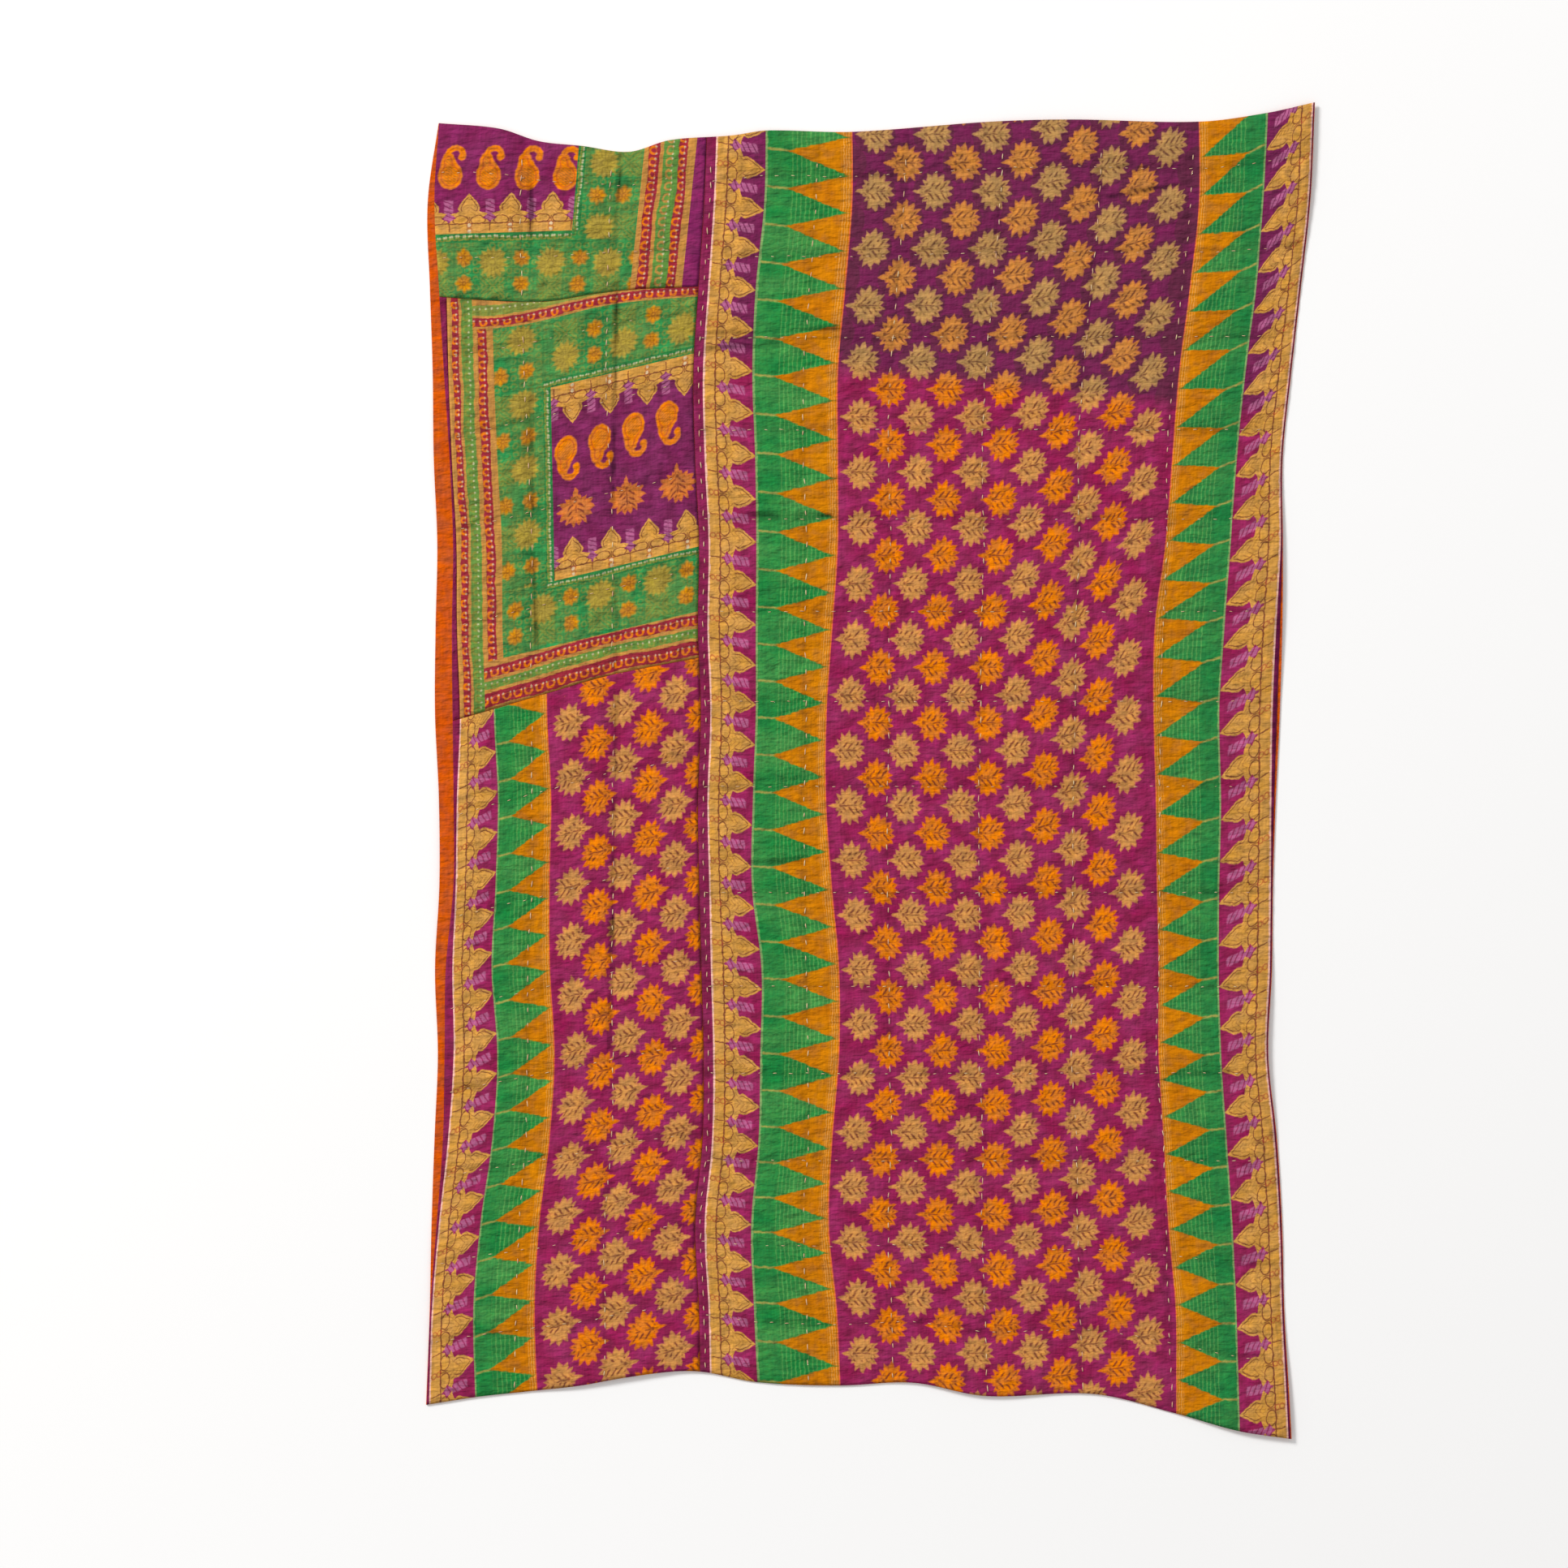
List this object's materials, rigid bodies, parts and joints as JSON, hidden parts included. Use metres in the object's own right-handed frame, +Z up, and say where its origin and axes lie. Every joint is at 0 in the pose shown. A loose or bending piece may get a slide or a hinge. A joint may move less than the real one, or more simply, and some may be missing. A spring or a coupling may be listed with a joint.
{
  "type": "quilt",
  "caption": "Pieced cotton quilt laid flat, with a temple-bordered main cloth, a narrow side cloth, a bordered square, a corner patch and a plain backing, quilted in a loose grid.",
  "frame": {"origin": "on the surface under the middle of the quilt's box", "axes": "+Z up out of the face, +Y along the length towards the end with the corner patch, +X across the width"},
  "size_m": [1.5649, 2.3529, 0.011],
  "materials": {
    "orange_backing": "plain woven cotton, matt and slightly faded",
    "purple_sari": "thin printed sari cotton, matt, worn soft, with orange and gold motifs and temple borders",
    "green_sari": "thin printed sari cotton, matt, green ground with gold and orange flowers"
  },
  "bodies": {
    "root": {"backing": "orange_backing", "main_panel": "purple_sari", "left_panel": "purple_sari", "selvage_strip": "purple_sari", "square_patch": "green_sari", "corner_patch": "green_sari"}
  },
  "joints": []
}
